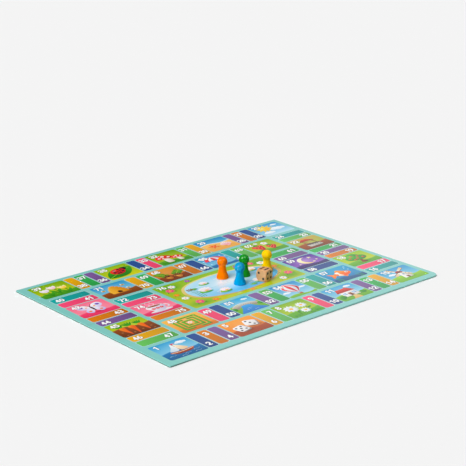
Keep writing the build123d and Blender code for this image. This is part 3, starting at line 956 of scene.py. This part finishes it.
def flat_areas(outline):
    """The part of the print inside an outline: points, triangles and the colours of the triangles'
    corners. The triangulation keeps every line of the drawing. A corner's colour is the inks over
    it laid one on another, each mixed from its two tones by the length of its grade times the
    place."""
    low, high = outline.min(0), outline.max(0)

    def near(points):
        return (points.max(0) > low).all() and (points.min(0) < high).all()

    near_spaces = [i for i, space in enumerate(spaces) if near(space)]
    near_inks = [ink for ink in inks if near(ink.outline)]
    loops = [outline] + [spaces[i] for i in near_spaces] + [ink.outline for ink in near_inks]
    loose = np.concatenate([points for points in dots if near(points)])
    loose = loose[((loose > low) & (loose < high)).all(1)]
    loops = [loop if leftward(loop) else loop[::-1] for loop in loops]
    starts = np.cumsum([0] + [len(loop) for loop in loops])
    faces = [list(range(a, b)) for a, b in zip(starts, starts[1:])]
    points = [Vector(p) for p in np.concatenate(loops + [loose])]
    places, _, triangles, _, _, sources = delaunay_2d_cdt(points, [], faces, 1, same_point, True)
    places, triangles = np.array(places), np.array(triangles)

    # One line for each pair of a triangle and a loop that holds it
    loop = np.concatenate([np.array(source, int) for source in sources])
    triangle = np.repeat(np.arange(len(triangles)), [len(source) for source in sources])
    on_panel = np.zeros(len(triangles), bool)
    on_panel[triangle[loop == 0]] = True
    space_at = np.full(len(triangles), -1)
    is_space = (loop > 0) & (loop <= len(near_spaces))
    space_at[triangle[is_space]] = np.array(near_spaces)[loop[is_space] - 1]

    # Of these, the inks that were printed in the space that holds the triangle, in their order
    is_ink = loop > len(near_spaces)
    triangle, loop = triangle[is_ink], loop[is_ink] - len(near_spaces) - 1
    held = np.array([ink.space for ink in near_inks])[loop] == space_at[triangle]
    triangle, loop = triangle[held], loop[held]
    order = np.lexsort((loop, triangle))
    triangle, loop = triangle[order], loop[order]
    rank = np.arange(len(triangle)) - np.searchsorted(triangle, triangle)

    first, second, strength, end_strength, grade = (
        np.array([getattr(ink, name) for ink in near_inks])
        for name in ("first", "second", "strength", "end_strength", "grade")
    )
    first, second = (t.mean(1)[:, None] * (1 - ink_strength) + t * ink_strength for t in (first, second))
    first, second = (np.clip(t, 0, 1) ** ink_depth for t in (first, second))
    corners = np.concatenate([places[triangles], np.ones((*triangles.shape, 1))], 2)
    colours = np.tile(tone(border_teal), (*triangles.shape, 1))
    for layer in range(rank.max() + 1):
        t, k = triangle[rank == layer], loop[rank == layer]
        share = np.linalg.norm(np.einsum("nij,ncj->nci", grade[k], corners[t]), axis=2)
        share = np.clip(share, 0, 1)[..., None]
        cover = strength[k][:, None, None] + (end_strength - strength)[k][:, None, None] * share
        mixed = first[k][:, None] + (second - first)[k][:, None] * share
        colours[t] += (mixed - colours[t]) * cover
    return places, triangles[on_panel], colours[on_panel]


def film_of_ink(name, outline):
    """The print inside an outline as a closed mesh: its flat areas on top, a rim round them, and an
    underside of one face. The rim is the edges that only one triangle has."""
    places, triangles, colours = flat_areas(outline)
    used, triangles = np.unique(triangles, return_inverse=True)
    triangles = triangles.reshape(-1, 3)
    places = places[used]
    a, b, c = (places[triangles[:, i]] for i in range(3))
    face_down = np.cross(b - a, c - a) < 0
    triangles[face_down], colours[face_down] = triangles[face_down][:, ::-1], colours[face_down][:, ::-1]
    edges = triangles[:, [[0, 1], [1, 2], [2, 0]]].reshape(-1, 2)
    _, found, times = np.unique(np.sort(edges, 1), axis=0, return_index=True, return_counts=True)
    rim = edges[found[times == 1]]
    rim_points = np.unique(rim)
    below = np.full(len(places), -1)
    below[rim_points] = len(places) + np.arange(len(rim_points))
    top = board_top / mm + ink_gap + ink_thickness
    upper = np.c_[places, np.full(len(places), top)]
    lower = np.c_[places[rim_points], np.full(len(rim_points), top - ink_thickness)]
    around = places[rim_points] - places[rim_points].mean(0)
    underside = below[rim_points[np.argsort(-np.arctan2(around[:, 1], around[:, 0]))]]
    sides = np.stack([rim[:, 1], rim[:, 0], below[rim[:, 0]], below[rim[:, 1]]], 1)
    every_face = triangles.tolist() + sides.tolist() + [underside.tolist()]
    mesh = bpy.data.meshes.new(name)
    mesh.from_pydata((np.concatenate([upper, lower]) * mm).tolist(), [], every_face)
    plain_corners = sum(len(face) for face in every_face) - 3 * len(triangles)
    tones = np.concatenate([colours.reshape(-1, 3), np.tile(tone(border_teal), (plain_corners, 1))])
    levels = np.c_[linear(np.clip(tones, 0, 1)), np.ones(len(tones))]
    ink = mesh.color_attributes.new("ink", "FLOAT_COLOR", "CORNER")
    ink.data.foreach_set("color", levels.astype(np.float32).ravel())
    return mesh


def printed_ink(tree, place):
    """The drawing's colours."""
    return add(tree, "Attribute", attribute_name="ink")["Color"]


laminated_print = laminated("laminated_offset_print", printed_ink)
for panel in panels:
    # The film's outline is the panel's rectangle, with its outer corner rounded
    low, high = (np.array(corner[:2]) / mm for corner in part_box(f"face_sheet_{panel}"))
    side = np.sign(low + high)
    low, high = np.where(side < 0, low + rim_inset, low), np.where(side > 0, high - rim_inset, high)
    centre = (low + high) / 2
    rounded = plate(*centre, *(high - low), film_corner[panel])
    rounded = rounded[((rounded - centre) * side > 0).all(1)]
    square = np.array([(low[0], low[1]), (high[0], low[1]), (high[0], high[1]), (low[0], high[1])])
    square = square[~((square - centre) * side > 0).all(1)]
    outline = np.concatenate([rounded, square])
    around = outline - centre
    outline = outline[np.argsort(np.arctan2(around[:, 1], around[:, 0]))]
    printed = bpy.data.objects.new(f"printed_track_{panel}", film_of_ink(panel, outline))
    bpy.context.scene.collection.objects.link(printed)
    printed.data.materials.append(laminated_print)
    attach(printed, panel)

# Pawns: beech, turned in one piece, dipped in coloured lacquer and dried. The lacquer shows as a
# small sharp gloss over an even colour, with the faint rings of the turning tool and some grain.

pawn_colours = {"orange": "FA7400", "blue": "0094CA", "green": "128C1E", "yellow": "FFC800"}
lacquered_grain = 1.1 * mm
tool_pitch = 2.2 * mm  # from one ring to the next
for colour_name, colour in pawn_colours.items():
    low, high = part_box(f"pawn_{colour_name}")
    middle = (low + high) / 2
    material, tree = new_material(f"{colour_name}_lacquered_beech")
    place = add(tree, "TexCoord")["Object"]
    own = add(tree, "Mapping", {"Vector": place, "Location": (-middle.x, -middle.y, -low.z)})[0]
    upright = add(tree, "Mapping", {"Vector": own, "Scale": (1, 1, 0.12)})[0]
    grain = add(tree, "TexNoise", {"Vector": upright, "Scale": 1 / lacquered_grain, "Detail": 4})[0]
    # A wave of scale 1 repeats every 0.31 m
    rings = add(
        tree, "TexWave", {"Vector": own, "Scale": 0.31 / tool_pitch, "Distortion": 0.3},
        wave_type="BANDS", bands_direction="Z",
    )["Fac"]
    deep = tuple(0.72 * level for level in linear(colour)[:3]) + (1.0,)
    shade = add(tree, "MapRange", {"Value": grain, "From Min": 0.45, "From Max": 0.75, "To Max": 0.35})[0]
    lacquer = add(tree, "Mix", {0: shade, 6: linear(colour), 7: deep}, data_type="RGBA")[2]
    relief = add(tree, "Bump", {"Height": rings, "Distance": 0.012 * mm})[0]
    relief = add(tree, "Bump", {"Height": grain, "Distance": 0.03 * mm, "Normal": relief})[0]
    flooded = add(tree, "Bump", {"Height": grain, "Distance": 0.01 * mm})[0]
    shader = add(tree, "BsdfPrincipled", {
        "Base Color": lacquer, "Roughness": 0.5, "Specular IOR Level": 0.0, "Normal": relief,
        "Coat Weight": 0.2, "Coat Roughness": 0.06, "Coat Normal": flooded,
    })
    add(tree, "OutputMaterial", {"Surface": shader[0]})
    coat_nodes([f"pawn_{colour_name}"], material)

# Die: a beech cube with its corners turned off to a ball, and drilled pips touched in with black
# paint. The wood is bare but for a thin wax, with short fine grain and small darker flecks.

die_edge = 14.0 * mm
die_turn = np.radians(14.0)
die_grain = 0.7 * mm
ray_fleck = 0.35 * mm
growth_ring = 3.5 * mm
pip_pitch = 3.15 * mm
paint_full, paint_end = 1.52 * mm, 1.6 * mm  # from the middle of a pip, so a little is on its rim
low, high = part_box("die")
material, tree = new_material("waxed_beech")
place = add(tree, "TexCoord")["Object"]
centred = add(tree, "Mapping", {"Vector": place, "Location": tuple(-(low + high) / 2)})[0]
own = add(tree, "Mapping", {"Vector": centred, "Rotation": (0, 0, -die_turn)})[0]
along_grain = add(tree, "Mapping", {"Vector": own, "Scale": (1, 0.08, 1)})[0]
along_rings = add(tree, "Mapping", {"Vector": own, "Scale": (1, 0.05, 0.4)})[0]
grain = add(tree, "TexNoise", {"Vector": along_grain, "Scale": 1 / die_grain, "Detail": 4})[0]
specks = add(tree, "TexNoise", {"Vector": along_grain, "Scale": 1 / ray_fleck, "Detail": 2})[0]
growth = add(tree, "TexNoise", {"Vector": along_rings, "Scale": 1 / growth_ring, "Detail": 2})[0]
beech = add(tree, "Mix", {0: growth, 6: linear("D69A6A"), 7: linear("C18250")}, data_type="RGBA")[2]
paler = add(tree, "MapRange", {"Value": grain, "From Min": 0.3, "From Max": 0.7, "To Max": 0.6})[0]
beech = add(tree, "Mix", {0: paler, 6: beech, 7: linear("DFAE80")}, data_type="RGBA")[2]
flecks = add(tree, "MapRange", {"Value": specks, "From Min": 0.6, "From Max": 0.72, "To Max": 0.5})[0]
beech = add(tree, "Mix", {0: flecks, 6: beech, 7: linear("8F5931")}, data_type="RGBA")[2]

# A face's pips lie on a grid along the direction across it and the third one. Opposite faces add
# up to seven.
pip_grid = {
    1: [(0, 0)],
    2: [(-1, 1), (1, -1)],
    3: [(-1, 1), (0, 0), (1, -1)],
    4: [(-1, 1), (1, 1), (-1, -1), (1, -1)],
    5: [(-1, 1), (1, 1), (0, 0), (-1, -1), (1, -1)],
    6: [(-1, 1), (0, 1), (1, 1), (-1, -1), (0, -1), (1, -1)],
}
along, back, up = Vector((1, 0, 0)), Vector((0, 1, 0)), Vector((0, 0, 1))
pip_faces = {
    1: (-up, along), 2: (-along, -back), 3: (back, -along),
    4: (-back, along), 5: (along, back), 6: (up, along),
}
nearest = 1.0
for count, (outward, across) in pip_faces.items():
    for i, j in pip_grid[count]:
        pip = outward * die_edge / 2 + (across * i + outward.cross(across) * j) * pip_pitch
        from_pip = add(tree, "VectorMath", {0: own, 1: pip}, operation="DISTANCE")["Value"]
        nearest = add(tree, "Math", {0: nearest, 1: from_pip}, operation="MINIMUM")[0]
paint = add(tree, "MapRange", {
    "Value": nearest, "From Min": paint_full, "From Max": paint_end, "To Min": 1.0, "To Max": 0.0,
})[0]
painted = add(tree, "Mix", {0: paint, 6: beech, 7: linear("0B0908")}, data_type="RGBA")[2]
roughness = add(tree, "MapRange", {"Value": paint, "To Min": 0.5, "To Max": 0.8})[0]
relief = add(tree, "Bump", {"Height": grain, "Distance": 0.03 * mm})[0]
shader = add(tree, "BsdfPrincipled", {
    "Base Color": painted, "Roughness": roughness, "Specular IOR Level": 0.25, "Normal": relief,
})
add(tree, "OutputMaterial", {"Surface": shader[0]})
coat_nodes(["die"], material)

# Studio: a pale floor that runs out of view, a broad sun from the left, and a world that fills in
# softly from above. Gloss sees the world dark but for two small lamps and a tall window, which is
# beyond the board and to the right as the photograph shows it. The camera sees it white.

bpy.ops.mesh.primitive_plane_add(size=40, location=(0, 0, -0.1 * mm))
floor = bpy.context.object
floor.name = "floor"
material, tree = new_material("pale_floor")
shader = add(tree, "BsdfPrincipled", {
    "Base Color": linear("EEEEEE"), "Roughness": 1.0, "Specular IOR Level": 0.0,
})
add(tree, "OutputMaterial", {"Surface": shader[0]})
floor.data.materials.append(material)

key = bpy.data.objects.new("key", bpy.data.lights.new("key", "SUN"))
key.data.energy = 2.8
key.data.angle = np.radians(42)
key.rotation_mode = "QUATERNION"
key.rotation_quaternion = Vector((-0.59, -0.06, 0.805)).to_track_quat("Z", "Y")
bpy.context.scene.collection.objects.link(key)

world = bpy.data.worlds.new("studio")
bpy.context.scene.world = world
world.use_nodes = True
tree = world.node_tree
tree.nodes.clear()
looking = add(tree, "TexCoord")["Generated"]
# The direction looked in, measured along each of these
ways = {
    "fill": (-0.45, 0.45, 0.77), "window_side": (0.61, 0.73, 0), "window_slant": (0.768, -0.64, 0.7),
    "left_lamp": (-0.738, -0.003, 0.673), "front_lamp": (-0.045, -0.479, 0.874),
}
facing = {
    name: add(tree, "VectorMath", {0: looking, 1: way}, operation="DOT_PRODUCT")["Value"]
    for name, way in ways.items()
}
fill = add(tree, "MapRange", {
    "Value": facing["fill"], "From Min": -0.2, "From Max": 1.0, "To Min": 0.03, "To Max": 0.55,
})[0]
slant = add(tree, "MapRange", {
    "Value": facing["window_slant"], "From Min": 0.2, "From Max": 0.3, "To Min": 0.02, "To Max": 0.82,
})[0]
behind = add(tree, "MapRange", {
    "Value": facing["window_side"], "From Min": 0.1, "From Max": 0.3, "To Min": 0.1, "To Max": 1.0,
})[0]
gloss = add(tree, "Math", {0: slant, 1: behind}, operation="MULTIPLY")[0]
for name, brightness in (("left_lamp", 45.0), ("front_lamp", 15.0)):
    # From the cosine of 19 degrees off the lamp's middle to that of 16 degrees
    lamp = add(tree, "MapRange", {
        "Value": facing[name], "From Min": 0.945, "From Max": 0.96, "To Min": 0.0, "To Max": brightness,
    })[0]
    gloss = add(tree, "Math", {0: gloss, 1: lamp}, operation="ADD")[0]
rays = add(tree, "LightPath")
seen = add(tree, "Mix", {0: rays["Is Glossy Ray"], 2: fill, 3: gloss})[0]
floor_white = 0.913  # the world looks as white to the camera as the lit floor does
strength = add(tree, "Mix", {0: rays["Is Camera Ray"], 2: seen, 3: floor_white})[0]
backdrop = add(tree, "Background", {"Color": (1, 1, 1, 1), "Strength": strength})
add(tree, "OutputWorld", {"Surface": backdrop[0]})

# Camera: where the photograph was taken from, found from the board's four corners

photo_pixels = 466
focal_pixels = 1351.68
azimuth, elevation, roll = np.radians((39.797, 18.078, -0.957))
shift_right, shift_up, distance = -0.004088, -0.057337, 1.574586
about_upright = np.array([
    [np.cos(azimuth), np.sin(azimuth), 0], [-np.sin(azimuth), np.cos(azimuth), 0], [0, 0, 1],
])
level_right = np.array([1.0, 0, 0])
level_up = np.array([0, np.sin(elevation), np.cos(elevation)])
lens_back = np.array([0, -np.cos(elevation), np.sin(elevation)])
lens_right = level_right * np.cos(roll) + level_up * np.sin(roll)
lens_up = level_up * np.cos(roll) - level_right * np.sin(roll)
lens_place = lens_back * distance - lens_right * shift_right - lens_up * shift_up
pose = np.eye(4)
pose[:3, :3] = about_upright @ np.stack([lens_right, lens_up, lens_back], 1)
pose[:3, 3] = about_upright @ lens_place + (0, 0, board_top)
camera = bpy.data.objects.new("camera", bpy.data.cameras.new("camera"))
camera.data.sensor_width = 36.0
camera.data.lens = 36.0 * focal_pixels / photo_pixels
camera.data.clip_end = 100
camera.matrix_world = Matrix(pose.tolist())
bpy.context.scene.collection.objects.link(camera)
bpy.context.scene.camera = camera

bpy.context.scene.view_settings.view_transform = "Standard"
